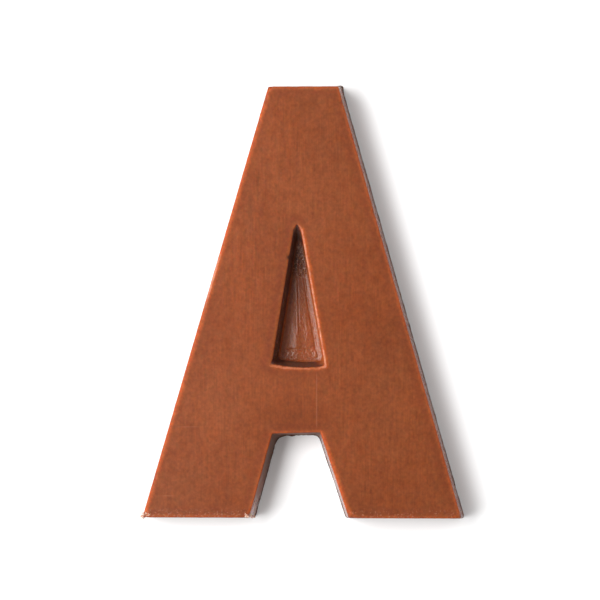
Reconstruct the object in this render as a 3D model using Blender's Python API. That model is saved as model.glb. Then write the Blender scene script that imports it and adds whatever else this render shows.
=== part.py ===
"""A milk chocolate capital letter A, cast in a mould, lying on its poured back with its moulded face up.

Metres, +Z up. +X runs to the letter's right and +Y from its feet to its top. The dimensions below are in
millimetres, measured from the middle of the feet, and the finished letter is moved so that its box is centred
on the origin.
"""

import math

import bmesh
import bpy
from mathutils import Vector, noise

MM = 0.001

# Driving dimensions of the moulded face
HEIGHT = 130.0
BASE_LEFT_X = -47.88
BASE_RIGHT_X = 48.3
TOP_LEFT_X = -9.8
TOP_RIGHT_X = 11.3
NOTCH_BASE_LEFT_X = -15.6
NOTCH_BASE_RIGHT_X = 14.5
NOTCH_TOP_LEFT = (-8.6, 25.4)
NOTCH_TOP_RIGHT = (5.9, 25.8)

# Thickness and the draft of the mould's walls, as how far the back stands outside the face
THICKNESS = 12.0
OUTER_DRAFT = 0.9
NOTCH_DRAFT = 1.28

# The counter is a blind pocket with a web of chocolate behind it
POCKET_RIM = ((-8.7, 46.5), (7.7, 45.9), (0.6, 86.3), (-2.2, 86.3))
POCKET_SHOULDER_WIDTH = 2.65
POCKET_NARROWEST = 1.3
POCKET_TIP_RISE = 0.66
POCKET_TIP_SHIFT = -0.35
POCKET_BASE_SAG = 0.8
POCKET_SAG_REACH = 3.0
POCKET_DEPTH_LOW = 7.8
POCKET_DEPTH_HIGH = 4.2

# Radii of the letter's corners, at the face and at the back, in the order of face_corners
FACE_RADIUS = 0.5
BACK_RADII = (1.2, 0.9, 3.8, 2.4, 0.9, 0.8, 0.5, 1.2)

# Radii of the pocket's corners, at its rim and at its floor, in the order of pocket_corners
POCKET_RIM_RADII = (0.5, 0.5, 0.5, 0.3, 0.5)
POCKET_FLOOR_RADII = (1.6, 1.6, 0.9, 0.5, 0.9)

# Poured back: a thin uneven fin where the chocolate met the mould's flange
FIN_REACH = 0.15
FIN_UNEVENNESS = 0.12
FIN_GRAIN = 0.35
FIN_SEED = 4.0

# Tongues where the fin broke off less: x, y, radius and reach
FIN_TONGUES = (
    (12.8, 131.0, 2.6, 0.5),
    (15.8, 122.4, 1.6, 0.22),
    (20.6, 104.9, 1.1, 0.25),
    (21.8, 100.0, 1.3, 0.28),
    (24.0, 92.7, 1.1, 0.2),
    (-3.2, 24.4, 1.5, 0.3),
    (-6.0, 24.2, 1.0, 0.2),
    (43.6, 24.6, 1.2, 0.2),
)

# Rings round the back and over its fin: height, reach beyond the wall, and share of the fin's reach
FIN_RINGS = ((0.0, -1.4, 0.0), (0.0, -0.15, 0.5), (0.12, 0.0, 1.0), (0.4, -0.1, 0.8))

# Rings up the wall, as heights
WALL_RINGS = (1.1, 4.8, 8.6)

# Rings over the rounded rim of the face: drop below the face, inset, and share of the chips' depth
RIM_RINGS = ((0.45, 0.0, 0.35), (0.14, 0.14, 0.8), (0.0, 0.45, 1.0))
CHIP_DROP = 0.6

# Rings of the pocket's cutter over its rounded mouth: height above the face, reach, and share of the chips
MOUTH_RINGS = ((1.0, 0.4, 1.0), (0.05, 0.35, 1.0), (-0.1, 0.08, 0.8), (-0.35, 0.0, 0.35))

# Rings down the pocket's walls and across its floor: insets of its base, right and left side, and share of
# the depth. A low slope runs along the foot of the right wall
POCKET_RINGS = (
    (0.65, 0.4, 0.55, 0.45),
    (1.1, 0.65, 0.95, 0.75),
    (1.5, 0.85, 1.3, 0.94),
    (2.0, 2.1, 1.75, 1.0),
    (2.9, 3.2, 2.5, 1.0),
)

# Chips in the rim of the face: x, y, radius and depth
CHIPS = (
    (-47.6, 0.6, 2.2, 0.7),
    (-44.9, 12.2, 1.6, 0.35),
    (-15.9, 0.6, 2.0, 0.6),
    (14.9, 0.8, 2.4, 0.8),
    (48.0, 0.5, 1.6, 0.45),
    (-11.0, 126.4, 1.6, 0.4),
    (-12.9, 119.5, 1.4, 0.25),
    (12.4, 125.2, 1.3, 0.3),
    (21.9, 91.8, 1.5, 0.35),
    (-9.7, 129.8, 1.8, 0.6),
    (-2.0, 130.0, 1.6, 0.25),
    (5.0, 130.0, 1.8, 0.25),
)

# Chips in the rim of the pocket: x, y, radius and depth
POCKET_CHIPS = (
    (-8.9, 46.2, 2.2, 0.5),
    (-5.2, 45.4, 1.6, 0.35),
    (4.9, 45.2, 1.5, 0.25),
    (-3.6, 78.6, 1.1, 0.35),
    (0.5, 77.6, 1.0, 0.2),
)

# Spacing of the points along the outlines
OUTLINE_PITCH = 1.5
POCKET_PITCH = 1.0
CORNER_STEPS = 4
POCKET_CORNER_STEPS = 3

CHOCOLATE_COLOUR = (0.30, 0.085, 0.036, 1.0)
CHOCOLATE_ROUGHNESS = 0.4


def clear_scene():
    for obj in list(bpy.data.objects):
        bpy.data.objects.remove(obj)


def new_collection(name):
    collection = bpy.data.collections.new(name)
    bpy.context.scene.collection.children.link(collection)
    return collection


def chocolate_material():
    material = bpy.data.materials.new("milk_chocolate")
    material.use_nodes = True
    shader = material.node_tree.nodes["Principled BSDF"]
    shader.inputs["Base Color"].default_value = CHOCOLATE_COLOUR
    shader.inputs["Roughness"].default_value = CHOCOLATE_ROUGHNESS
    shader.inputs["Metallic"].default_value = 0.0
    return material


def crossing(first, second):
    """The point where two lines meet, each given as a point and a direction."""
    (p, d), (q, e) = first, second
    share = (q - p).cross(e) / d.cross(e)
    return p + d * share


def side_lines(corners, offsets):
    """The sides of a counter-clockwise outline, each moved outwards by its own offset."""
    lines = []
    for i, offset in enumerate(offsets):
        start = corners[i]
        along = (corners[(i + 1) % len(corners)] - start).normalized()
        outward = Vector((along.y, -along.x))
        lines.append((start + outward * offset, along))
    return lines


def offset_corners(corners, offsets):
    lines = side_lines(corners, offsets)
    return [crossing(lines[i - 1], lines[i]) for i in range(len(lines))]


def rounded_outline(corners, radii, side_steps, corner_steps):
    """Points along an outline with rounded corners. Outlines with the same steps have matching points."""
    count = len(corners)
    sides = [(corners[(i + 1) % count] - corners[i]).normalized() for i in range(count)]
    reaches = [radii[i] * math.tan(sides[i - 1].angle(sides[i]) / 2) for i in range(count)]
    points = []
    for i, corner in enumerate(corners):
        start = corner - sides[i - 1] * reaches[i]
        end = corner + sides[i] * reaches[i]
        for step in range(corner_steps + 1):
            t = step / corner_steps
            points.append(start * (1 - t) ** 2 + corner * (2 * t * (1 - t)) + end * t**2)
        following = (i + 1) % count
        side_end = corners[following] - sides[i] * reaches[following]
        for step in range(1, side_steps[i]):
            points.append(end.lerp(side_end, step / side_steps[i]))
    return points


def steps_along(corners, pitch):
    count = len(corners)
    lengths = [(corners[(i + 1) % count] - corners[i]).length for i in range(count)]
    return [max(1, round(length / pitch)) for length in lengths]


def outward_normals(points):
    count = len(points)
    normals = []
    for i in range(count):
        along = (points[(i + 1) % count] - points[i - 1]).normalized()
        normals.append(Vector((along.y, -along.x)))
    return normals


def chip_depth(point, chips):
    """How far a rim is broken back, or a fin stands out, at a point of its outline."""
    depth = 0.0
    for x, y, radius, deepest in chips:
        near = 1 - (point - Vector((x, y))).length / radius
        if near > 0:
            depth = max(depth, deepest * near * near * (3 - 2 * near))
    return depth


def fin_reach(point):
    """How far the fin on the back stands out, which varies along the edge."""
    grain = noise.noise(Vector((point.x * FIN_GRAIN, point.y * FIN_GRAIN, FIN_SEED)))
    return FIN_REACH + FIN_UNEVENNESS * grain + chip_depth(point, FIN_TONGUES)


def face_corners():
    return [
        Vector((BASE_LEFT_X, 0.0)),
        Vector((NOTCH_BASE_LEFT_X, 0.0)),
        Vector(NOTCH_TOP_LEFT),
        Vector(NOTCH_TOP_RIGHT),
        Vector((NOTCH_BASE_RIGHT_X, 0.0)),
        Vector((BASE_RIGHT_X, 0.0)),
        Vector((TOP_RIGHT_X, HEIGHT)),
        Vector((TOP_LEFT_X, HEIGHT)),
    ]


def body_drafts():
    """The draft of each side in the order of face_corners: a foot, the notch's three walls, and the rest."""
    return [OUTER_DRAFT] + 3 * [NOTCH_DRAFT] + 4 * [OUTER_DRAFT]


def body_section(z, outset, side_steps):
    """The letter's outline at height z, and outset beyond its drafted wall."""
    below_face = 1 - z / THICKNESS
    offsets = [draft * below_face + outset for draft in body_drafts()]
    corners = offset_corners(face_corners(), offsets)
    radii = [FACE_RADIUS + (back - FACE_RADIUS) * below_face for back in BACK_RADII]
    return rounded_outline(corners, radii, side_steps, CORNER_STEPS)


def body_rings():
    """Rings of points from the back, round its fin and up the wall, to the rim of the face."""
    side_steps = steps_along(face_corners(), OUTLINE_PITCH)
    rings = []
    for z, outset, fin_share in FIN_RINGS:
        points = body_section(z, outset, side_steps)
        normals = outward_normals(points)
        rings.append([(p + n * fin_reach(p) * fin_share, z) for p, n in zip(points, normals)])
    for z in WALL_RINGS:
        rings.append([(p, z) for p in body_section(z, 0.0, side_steps)])
    for drop, inset, chip_share in RIM_RINGS:
        points = body_section(THICKNESS - drop, -inset, side_steps)
        ring = []
        for p, n in zip(points, outward_normals(points)):
            chip = chip_depth(p, CHIPS) * chip_share
            lowered = CHIP_DROP * chip if drop else 0.0
            ring.append((p - n * chip, THICKNESS - drop - lowered))
        rings.append(ring)
    return rings


def pocket_corners(base_inset, right_inset, left_inset):
    """The pocket's outline, a long triangle with a pointed cap, with each side moved in from the rim."""
    rim = [Vector(corner) for corner in POCKET_RIM]
    base, right, _, left = side_lines(rim, (-base_inset, -right_inset, 0.0, -left_inset))
    low_left, low_right, peak = crossing(left, base), crossing(base, right), crossing(right, left)
    width = POCKET_SHOULDER_WIDTH - (right_inset / 2 if right_inset > 0 else 2 * right_inset)
    width = max(POCKET_NARROWEST, width)
    narrowing = (low_right.x - low_left.x) / (peak.y - (low_left.y + low_right.y) / 2)
    shoulder = (Vector((0.0, peak.y - width / narrowing)), Vector((1.0, 0.0)))
    high_left, high_right = crossing(left, shoulder), crossing(right, shoulder)
    tip = (high_left + high_right) / 2 + Vector((POCKET_TIP_SHIFT, POCKET_TIP_RISE * width))
    return [low_left, low_right, high_right, tip, high_left]


def sagged(point, low_left, low_right, sag):
    """A point of the pocket's outline, moved down where it is near the middle of the base."""
    across = (point.x - low_left.x) / (low_right.x - low_left.x)
    nearness = max(0.0, 1 - (point.y - low_left.y) / POCKET_SAG_REACH)
    bow = max(0.0, 4 * across * (1 - across)) * nearness
    return point - Vector((0.0, sag * bow))


def pocket_section(insets, depth_share, side_steps):
    """Points of the pocket's outline at a share of its depth. Its base sags less at the floor."""
    corners = pocket_corners(*insets)
    radii = [rim + (floor - rim) * depth_share for rim, floor in zip(POCKET_RIM_RADII, POCKET_FLOOR_RADII)]
    points = rounded_outline(corners, radii, side_steps, POCKET_CORNER_STEPS)
    sag = POCKET_BASE_SAG * (1 - depth_share / 2)
    return [sagged(p, corners[0], corners[1], sag) for p in points]


def pocket_depth(y):
    """The floor rises towards the narrow top, where the mould's plastic could not be drawn so deep."""
    low, high = POCKET_RIM[0][1], POCKET_RIM[2][1]
    share = min(1.0, max(0.0, (y - low) / (high - low)))
    return POCKET_DEPTH_LOW + (POCKET_DEPTH_HIGH - POCKET_DEPTH_LOW) * share * share


def pocket_rings():
    """Rings from above the face, over the pocket's rounded rim, down its walls and across its floor."""
    side_steps = steps_along(pocket_corners(0.0, 0.0, 0.0), POCKET_PITCH)
    rings = []
    for height, outset, chip_share in MOUTH_RINGS:
        points = pocket_section(3 * (-outset,), 0.0, side_steps)
        ring = []
        for p, n in zip(points, outward_normals(points)):
            chip = chip_depth(p, POCKET_CHIPS) * chip_share
            ring.append((p + n * chip, THICKNESS + height))
        rings.append(ring)
    for *insets, depth_share in POCKET_RINGS:
        points = pocket_section(insets, depth_share, side_steps)
        rings.append([(p, THICKNESS - depth_share * pocket_depth(p.y)) for p in points])
    return rings


def loft(name, rings, collection):
    """A closed mesh through matching rings of points, with a flat cap on its first and last ring."""
    work = bmesh.new()
    loops = [[work.verts.new((p.x * MM, p.y * MM, z * MM)) for p, z in ring] for ring in rings]
    count = len(loops[0])
    for lower, upper in zip(loops, loops[1:]):
        for i in range(count):
            j = (i + 1) % count
            work.faces.new((lower[i], lower[j], upper[j], upper[i]))
    work.faces.new(reversed(loops[0]))
    work.faces.new(loops[-1])
    bmesh.ops.recalc_face_normals(work, faces=work.faces)
    mesh = bpy.data.meshes.new(name)
    work.to_mesh(mesh)
    work.free()
    obj = bpy.data.objects.new(name, mesh)
    collection.objects.link(obj)
    return obj


def cut(obj, cutter):
    modifier = obj.modifiers.new("pocket", "BOOLEAN")
    modifier.operation = "DIFFERENCE"
    modifier.solver = "EXACT"
    modifier.object = cutter


def centre_of_box(rings):
    points = [p for ring in rings for p, _ in ring]
    xs, ys = [p.x for p in points], [p.y for p in points]
    return Vector(((min(xs) + max(xs)) / 2, (min(ys) + max(ys)) / 2))


def centred(rings, centre):
    return [[(p - centre, z) for p, z in ring] for ring in rings]


def main():
    clear_scene()
    letter_parts = new_collection("chocolate_letter")
    cutters = new_collection("cutters")
    body = body_rings()
    centre = centre_of_box(body)
    letter = loft("chocolate_letter", centred(body, centre), letter_parts)
    pocket = loft("pocket_cutter", centred(pocket_rings(), centre), cutters)
    pocket.hide_render = True
    pocket.display_type = "WIRE"
    cut(letter, pocket)
    letter.data.materials.append(chocolate_material())
    letter.data.shade_smooth()
    letter.data.set_sharp_from_angle(angle=math.radians(30))


main()
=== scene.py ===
"""Looks of a moulded milk chocolate letter A, lying on its back and seen from above.

Metres, +Z up. The dimensions below are in millimetres, measured from the middle of the letter's feet, and
the finished pieces are moved to the letter's place in the frame.
"""

import math
import random
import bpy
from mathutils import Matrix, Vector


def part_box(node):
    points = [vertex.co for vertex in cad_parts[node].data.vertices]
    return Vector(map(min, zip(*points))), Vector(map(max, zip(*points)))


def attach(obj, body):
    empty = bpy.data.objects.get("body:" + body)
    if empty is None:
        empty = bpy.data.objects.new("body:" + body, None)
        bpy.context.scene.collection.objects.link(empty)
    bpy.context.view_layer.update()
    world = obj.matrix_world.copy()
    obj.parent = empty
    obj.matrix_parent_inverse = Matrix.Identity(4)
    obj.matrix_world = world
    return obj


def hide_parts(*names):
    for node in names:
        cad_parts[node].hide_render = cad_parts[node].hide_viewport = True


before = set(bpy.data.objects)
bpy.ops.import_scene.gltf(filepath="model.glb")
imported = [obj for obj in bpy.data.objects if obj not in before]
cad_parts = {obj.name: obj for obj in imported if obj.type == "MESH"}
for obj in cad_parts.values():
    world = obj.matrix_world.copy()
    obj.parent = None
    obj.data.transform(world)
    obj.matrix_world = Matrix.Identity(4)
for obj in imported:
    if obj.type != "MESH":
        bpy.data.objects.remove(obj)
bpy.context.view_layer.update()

from types import SimpleNamespace

import bmesh
import bpy
import numpy as np
from mathutils import Matrix, Vector, geometry, noise

MM = 0.001
NODE = "chocolate_letter"

# Driving dimensions of the moulded face
HEIGHT = 130.0
BASE_LEFT_X = -47.88
BASE_RIGHT_X = 48.3
TOP_LEFT_X = -9.8
TOP_RIGHT_X = 11.3
NOTCH_BASE_LEFT_X = -15.6
NOTCH_BASE_RIGHT_X = 14.5
NOTCH_TOP_LEFT = (-8.6, 25.4)
NOTCH_TOP_RIGHT = (5.9, 25.8)

# Thickness and the draft of the mould's walls, as how far the back stands outside the face
THICKNESS = 12.0
OUTER_DRAFT = 0.9
NOTCH_DRAFT = 1.28

# The draft of each side in the order of face_corners: a foot, the notch's three walls, and the rest
DRAFTS = (OUTER_DRAFT, *3 * (NOTCH_DRAFT,), *4 * (OUTER_DRAFT,))

# The counter is a blind pocket with a web of chocolate behind it
POCKET_RIM = ((-8.7, 46.5), (7.25, 45.9), (0.15, 86.3), (-2.2, 86.3))
POCKET_SHOULDER_WIDTH = 2.2
POCKET_NARROWEST = 1.3
POCKET_TIP_RISE = 0.79
POCKET_TIP_SHIFT = -0.12
POCKET_BASE_SAG = 0.8
POCKET_SAG_REACH = 3.0
POCKET_DEPTH_LOW = 7.8
POCKET_DEPTH_HIGH = 4.2

# Radii of the letter's corners, at the face and at the back, in the order of face_corners
FACE_RADIUS = 0.5
BACK_RADII = (1.2, 0.9, 3.8, 2.4, 0.9, 0.8, 0.5, 1.2)

# Radii of the pocket's corners, at its rim and at its floor, in the order of pocket_corners
POCKET_RIM_RADII = (0.5, 0.5, 0.5, 0.3, 0.5)
POCKET_FLOOR_RADII = (1.6, 1.6, 0.9, 0.5, 0.9)

# Rounding of the rims
RIM_RADIUS = 0.4
RIM_STEPS = 6
MOUTH_RADIUS = 0.35
MOUTH_STEPS = 5

# Poured back: a thin uneven fin where the chocolate met the mould's flange
FIN_REACH = 0.15
FIN_UNEVENNESS = 0.12
FIN_GRAIN = 0.35
FIN_SEED = 4.0
FIN_FRINGE = 0.10
FIN_FRINGE_GRAIN = 1.4

# Tongues where the fin broke off less: x, y, radius and reach
FIN_TONGUES = (
    (12.8, 131.0, 2.6, 0.5),
    (15.8, 122.4, 1.6, 0.22),
    (20.6, 104.9, 1.1, 0.25),
    (21.8, 100.0, 1.3, 0.28),
    (24.0, 92.7, 1.1, 0.2),
    (-3.2, 24.4, 1.5, 0.3),
    (-6.0, 24.2, 1.0, 0.2),
    (43.6, 24.6, 1.2, 0.2),
)

# The fin is shorter along the left edge: its share there, and a line just inside that edge
FIN_LEFT_SHARE = 0.4
LEFT_EDGE_X = -44.0
LEFT_EDGE_SLOPE = 0.293

# Rings round the back and over its fin: height, reach beyond the wall, and share of the fin's reach
FIN_RINGS = (
    (0.0, -1.4, 0.0),
    (0.0, -0.7, 0.1),
    (0.0, -0.15, 0.5),
    (0.05, 0.0, 0.9),
    (0.12, 0.0, 1.0),
    (0.22, 0.0, 0.95),
    (0.4, -0.1, 0.8),
    (0.6, -0.08, 0.4),
    (0.85, -0.03, 0.12),
)

# The moulded wall starts above the fin
WALL_LOW = 1.1
WALL_STEPS = 12

# The pocket's profile: insets of its base, right and left side, share of the depth, and rings that lead
# there. A low slope runs along the foot of its right wall, with an uneven edge
POCKET_PROFILE = (
    (0.0, 0.0, 0.0, 0.0, 0),
    (0.95, 0.35, 0.95, 0.75, 9),
    (1.25, 0.6, 1.3, 0.94, 5),
    (1.7, 1.75, 1.75, 1.0, 9),
    (2.6, 2.75, 2.5, 1.0, 5),
)
SLOPE_WOBBLE = 0.45
SLOPE_WOBBLE_GRAIN = 0.9
SLOPE_WOBBLE_SEED = 5.0

# From this share of the depth on, the floor's relief shows
RELIEF_STARTS = 0.8

# Chips in the rim of the face: x, y, radius and depth
CHIPS = (
    (-47.6, 0.6, 2.2, 0.7),
    (-44.9, 12.2, 1.6, 0.35),
    (-15.9, 0.6, 2.0, 0.6),
    (14.9, 0.8, 2.4, 0.8),
    (48.0, 0.5, 1.6, 0.45),
    (-11.0, 126.4, 1.6, 0.4),
    (-12.9, 119.5, 1.4, 0.25),
    (12.4, 125.2, 1.3, 0.3),
    (21.9, 91.8, 1.5, 0.35),
    (-9.7, 129.8, 1.8, 0.6),
    (-2.0, 130.0, 1.6, 0.25),
    (5.0, 130.0, 1.8, 0.25),
)

# A chip's share of its depth below the rim, how far it lowers the rim, and the least share of that
CHIP_LOW_SHARE = 0.35
CHIP_DROP = 0.6
CHIP_TOP_SHARE = 0.3

# A rim faces as the points this many places before and after say
RIM_SPREAD = 12

# Chips in the rim of the pocket: x, y, radius and depth
POCKET_CHIPS = (
    (-7.2, 45.9, 0.7, 0.3),
    (-2.6, 44.9, 0.8, 0.18),
    (2.4, 44.9, 0.9, 0.15),
    (-8.9, 46.2, 2.2, 0.5),
    (-5.2, 45.4, 1.6, 0.35),
    (4.9, 45.2, 1.5, 0.25),
    (-3.6, 78.6, 1.1, 0.35),
    (0.5, 77.6, 1.0, 0.2),
)

# Fine raggedness of the rims
RAGGED_GRAIN = 0.9
RAGGED_SEED = 7.0
RAGGED_SIDE = 0.035
RAGGED_END = 0.17
RAGGED_END_REACH = 1.5

# Wrinkles of the pocket's floor: from x, y to x, y, half width and height
FLOOR_RIDGES = (
    (-1.6, 72.5, -1.2, 55.2, 0.22, 0.11),
    (-1.2, 72.5, -0.8, 55.2, 0.22, -0.06),
    (0.1, 76.0, 1.68, 65.6, 0.22, -0.2),
    (1.68, 65.6, 3.75, 53.6, 0.22, -0.22),
    (3.75, 53.6, 4.2, 50.6, 0.25, -0.16),
    (-4.0, 50.7, 2.6, 50.5, 0.3, -0.2),
    (1.0, 62.0, 1.7, 55.0, 0.4, 0.04),
)

# Low swellings of the pocket's floor: x, y, radius along x, radius along y and height
FLOOR_SWELLS = (
    (-1.6, 53.4, 1.2, 3.8, 0.42),
    (4.2, 48.9, 0.35, 0.8, 0.3),
    (-0.6, 48.9, 4.6, 1.3, 0.16),
    (1.6, 54.0, 1.3, 3.2, 0.1),
    (-1.2, 78.0, 1.2, 5.0, 0.18),
)

# The pocket's floor is rough below one y and above another: each y, and the relief there
FLOOR_ROUGH_GRAIN = 2.5
FLOOR_ROUGH_SEED = 3.0
FLOOR_ROUGH_LOW = (50.8, 0.13)
FLOOR_ROUGH_HIGH = (72.5, 0.34)
FLOOR_ROUGH_REST = 0.03

# Painted shade: the pocket darkens towards its narrow top in two steps, each from where to where
NARROW_TOP_SHADE_FROM = (55.0, 74.0)
NARROW_TOP_DEEPER_SHADE_FROM = (72.0, 76.5)
NARROW_TOP_SHADE_COLOUR = (0.06, 0.018, 0.009)

# The pocket's floor is flecked where it is rough, partly broken chocolate and partly painted glints: each
# from where to where
FLECKS_ABOVE = (72.5, 74.5)
FLECKS_BELOW = (50.0, 51.0)

# The pocket's lit wall, with painted light, fades towards the top: from where to where, and how much is left
# at each
LIT_FADE = (62.0, 84.0, 1.0, 0.3)

# Painted shade at the foot of the wall, where it meets the floor: from where to where below the face
WALL_FOOT_SHADE_FROM = (9.8, 11.2)

# The notch's walls are shaded inside a ball round the notch, more so away from the feet
NOTCH_MIDDLE = (-0.5, 8.0, 6.0)
NOTCH_SURROUND = (21.0, 23.0)
NOTCH_SHADE_FROM = (3.0, 18.0)
NOTCH_SHADE_COLOUR = (0.06, 0.028, 0.014)

# One corner of the left foot is dusty and carries a painted reflection of the lit floor: from how near to
# how far, and how much at each
DUST_AND_REFLECTION_CORNER = (-15.0, 0.0, 7.5)
DUST_AND_REFLECTION_REACH = (2.0, 8.0, 0.6, 0.0)
DUST_AND_REFLECTION_COLOUR = (0.62, 0.5, 0.45)

# Rims with painted light are duller outside a ball round the pocket, and carry a painted highlight inside it
POCKET_MIDDLE = (-0.5, 64.0, 12.0)
POCKET_SURROUND = (27.0, 29.0)

# Slow waves in the face and in the walls
FACE_WAVE = 0.03
FACE_WAVE_GRAIN = 0.08
FACE_WAVE_SEED = 1.0
FACE_WAVE_FADE = 3.0
WALL_WAVE = 0.05
WALL_WAVE_GRAIN = 0.12

# Spacing of the points, and steps in a rounded corner
OUTLINE_PITCH = 0.5
FACE_PITCH = 0.55
POCKET_PITCH = 0.35
FLOOR_PITCH = 0.18
BACK_PITCH = 1.2
CORNER_STEPS = 6

# How many points are measured at a time, and how near two may lie
POINTS_AT_A_TIME = 1000
NEAREST_POINTS = 1e-6

# Zones: shares of face, pocket and back. The rest is moulded wall, and the pocket's wall counts half
FACE = (1.0, 0.0, 0.0)
POCKET_FLOOR = (0.0, 1.0, 0.0)
BACK = (0.0, 0.0, 1.0)
WALL = (0.0, 0.0, 0.0)

# Crumbs: x, y, height, how far they scatter, how many, and their size
CRUMB_SPOTS = (
    (-16.3, 0.8, 11.85, 0.9, 12, 0.25),
    (-14.6, -0.2, 5.5, 0.45, 7, 0.30),
    (-46.6, 0.9, 11.85, 1.1, 14, 0.24),
    (-48.9, -0.9, 0.4, 0.6, 5, 0.32),
)
CRUMB_SEED = 11

# A crumb's shape: how far its size and its three lengths vary, and its bumps
CRUMB_SIZES = (0.6, 1.3)
CRUMB_LENGTHS = ((0.8, 1.3), (0.7, 1.1), (0.45, 0.8))
CRUMB_BUMPS = 0.5
CRUMB_BUMP_GRAIN = 1.3

# Painted edge light: how much light is painted on the thin edges that face left, right, up and down, most on
# those facing the key light
OUTER_PAINTED_LIGHT = (1.0, 0.4, 0.5, 0.35)
POCKET_PAINTED_LIGHT = (1.0, 0.0, 0.55, 0.1)

# Uneven places in the face, and painted light and shade: x, y, radius along x, radius along y, change of
# brightness and of redness
FACE_PATCHES_AND_PAINTED_LIGHT = (
    (-18.3, 67.0, 5.0, 14.0, 0.09, 0.0),
    (-8.0, 114.0, 4.5, 16.0, 0.07, 0.0),
    (-27.3, 32.5, 7.0, 8.0, 0.07, -0.25),
    (25.5, 53.0, 8.0, 9.0, -0.11, 0.1),
    (-2.0, 30.5, 9.0, 4.5, -0.1, 0.45),
    (17.5, 5.5, 5.0, 8.0, -0.09, 0.1),
    (41.0, 12.0, 4.5, 13.0, -0.08, 0.0),
    (-27.3, 58.0, 5.0, 7.0, -0.04, 0.35),
    (14.5, 60.5, 9.0, 5.0, 0.0, 0.45),
    (27.0, 33.0, 6.0, 12.0, 0.02, -0.35),
    (5.0, 108.0, 7.0, 22.0, -0.02, -0.3),
    (-32.0, 10.0, 10.0, 9.0, -0.02, -0.15),
    # Painted shade: the right of the face darker, away from the key light
    (31.0, 45.0, 14.0, 70.0, -0.055, 0.0),
    (-36.5, 4.0, 6.0, 5.0, -0.08, 0.0),
    (23.9, 35.5, 5.0, 8.0, -0.07, 0.0),
    (13.0, 111.0, 5.0, 10.0, -0.06, 0.1),
    (27.0, 66.0, 5.0, 8.0, 0.06, 0.0),
    (33.0, 35.5, 4.0, 6.0, 0.05, -0.1),
    (-18.0, 78.0, 4.0, 8.0, 0.05, 0.0),
    (-24.0, 35.5, 4.0, 5.0, -0.05, 0.0),
    # Painted light: the left of the face brighter, towards the key light
    (-22.0, 62.0, 9.0, 34.0, 0.02, 0.0),
    # Painted shade in five chips of the rims
    (-10.9, 126.1, 0.9, 1.3, -0.5, 0.0),
    (-12.7, 119.2, 0.6, 1.0, -0.35, 0.0),
    (-44.6, 12.0, 0.8, 1.2, -0.6, 0.0),
    (12.3, 124.9, 0.8, 0.4, -0.3, 0.0),
    (-3.9, 78.6, 0.5, 0.5, -0.6, 0.0),
    (23.9, 73.9, 0.45, 0.45, -0.4, 0.0),
    (24.5, 72.0, 0.5, 0.5, 0.2, 0.0),
    (-3.5, 127.7, 0.6, 0.6, 0.14, 0.0),
    (2.2, 126.8, 0.6, 0.6, 0.12, 0.0),
    (-3.4, 124.9, 0.6, 0.6, 0.14, 0.0),
    (-2.2, 124.8, 0.5, 0.5, 0.12, 0.0),
    (1.3, 114.4, 0.7, 0.7, 0.14, 0.0),
)

# The camera looks down from a little to the right of the letter
IMAGE_CENTRE = (-0.23, 65.66)
CAMERA_DISTANCE = 682.0
CAMERA_SIDE = 27.7
MM_PER_PIXEL = 0.30107
PIXELS = 600
SENSOR = 36.0

# Colours
CHOCOLATE_RED = (0.211, 0.044, 0.006)
CHOCOLATE_DUSTY = (0.225, 0.055, 0.011)
# Painted shade in a band a little inside the edges
EDGE_SHADE_COLOUR = (0.18, 0.034, 0.007)
# Painted light on the edges that face the light
PAINTED_EDGE_LIGHT_COLOUR = (0.44, 0.080, 0.007)
# A painted highlight on the lit rim round the pocket
PAINTED_RIM_HIGHLIGHT_COLOUR = (0.50, 0.20, 0.105)
# The pocket's painted shade on walls that face away from the light, and painted light on those that face it
SHADED_POCKET_WALL_COLOUR = (0.07, 0.027, 0.018)
POCKET_LIT_COLOUR = (0.40, 0.090, 0.020)
POCKET_FLOOR_COLOUR = (0.265, 0.070, 0.021)
WALL_COLOUR = (0.17, 0.036, 0.010)
BACK_COLOUR = (0.25, 0.085, 0.043)
# Painted shade at the foot of the walls
WALL_FOOT_SHADE_COLOUR = (0.085, 0.028, 0.013)
BREAK_COLOUR = (0.40, 0.16, 0.085)
CRUMB_COLOUR = (0.66, 0.46, 0.36)

# Textures: waves in a millimetre along each axis, detail, and how strong the fine detail is
BLOTCHES = ((0.06, 0.05, 0.06), 3.0)
MOTTLE = ((0.42, 0.36, 0.42), 3.0)
GRAIN = ((1.3, 1.1, 1.3), 1.5, 0.6)
WIDE_STREAKS = ((0.75, 0.03, 0.03), 2.0)
FINE_STREAKS = ((1.7, 0.09, 0.09), 1.5, 0.6)
STREAK_PLACES = ((0.16, 0.08, 0.1), 2.0)
FLECKS_AND_GLINTS = ((2.4, 2.2, 2.4), 1.0)
DUST_AND_REFLECTION_PATCHES = ((0.9, 0.9, 0.9), 3.0, 0.6)
PAINTED_LIGHT_PLACES = ((0.9, 0.9, 0.9), 2.0)
HIGHLIGHT_GAPS = ((0.8, 0.8, 0.8), 3.0, 0.7)
WORN_SPECKLE = ((1.6, 1.6, 1.6), 2.0)
DRAWN_WALL = ((0.5, 0.5, 0.5), 2.0)
WRINKLES = ((1.9, 0.9, 1.2), 3.0, 0.6)
SCRAPED_BACK = ((0.05, 0.9, 0.05), 3.0)
CRUMB_SPECKLE = ((2.5, 2.5, 2.5), 2.0)

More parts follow.
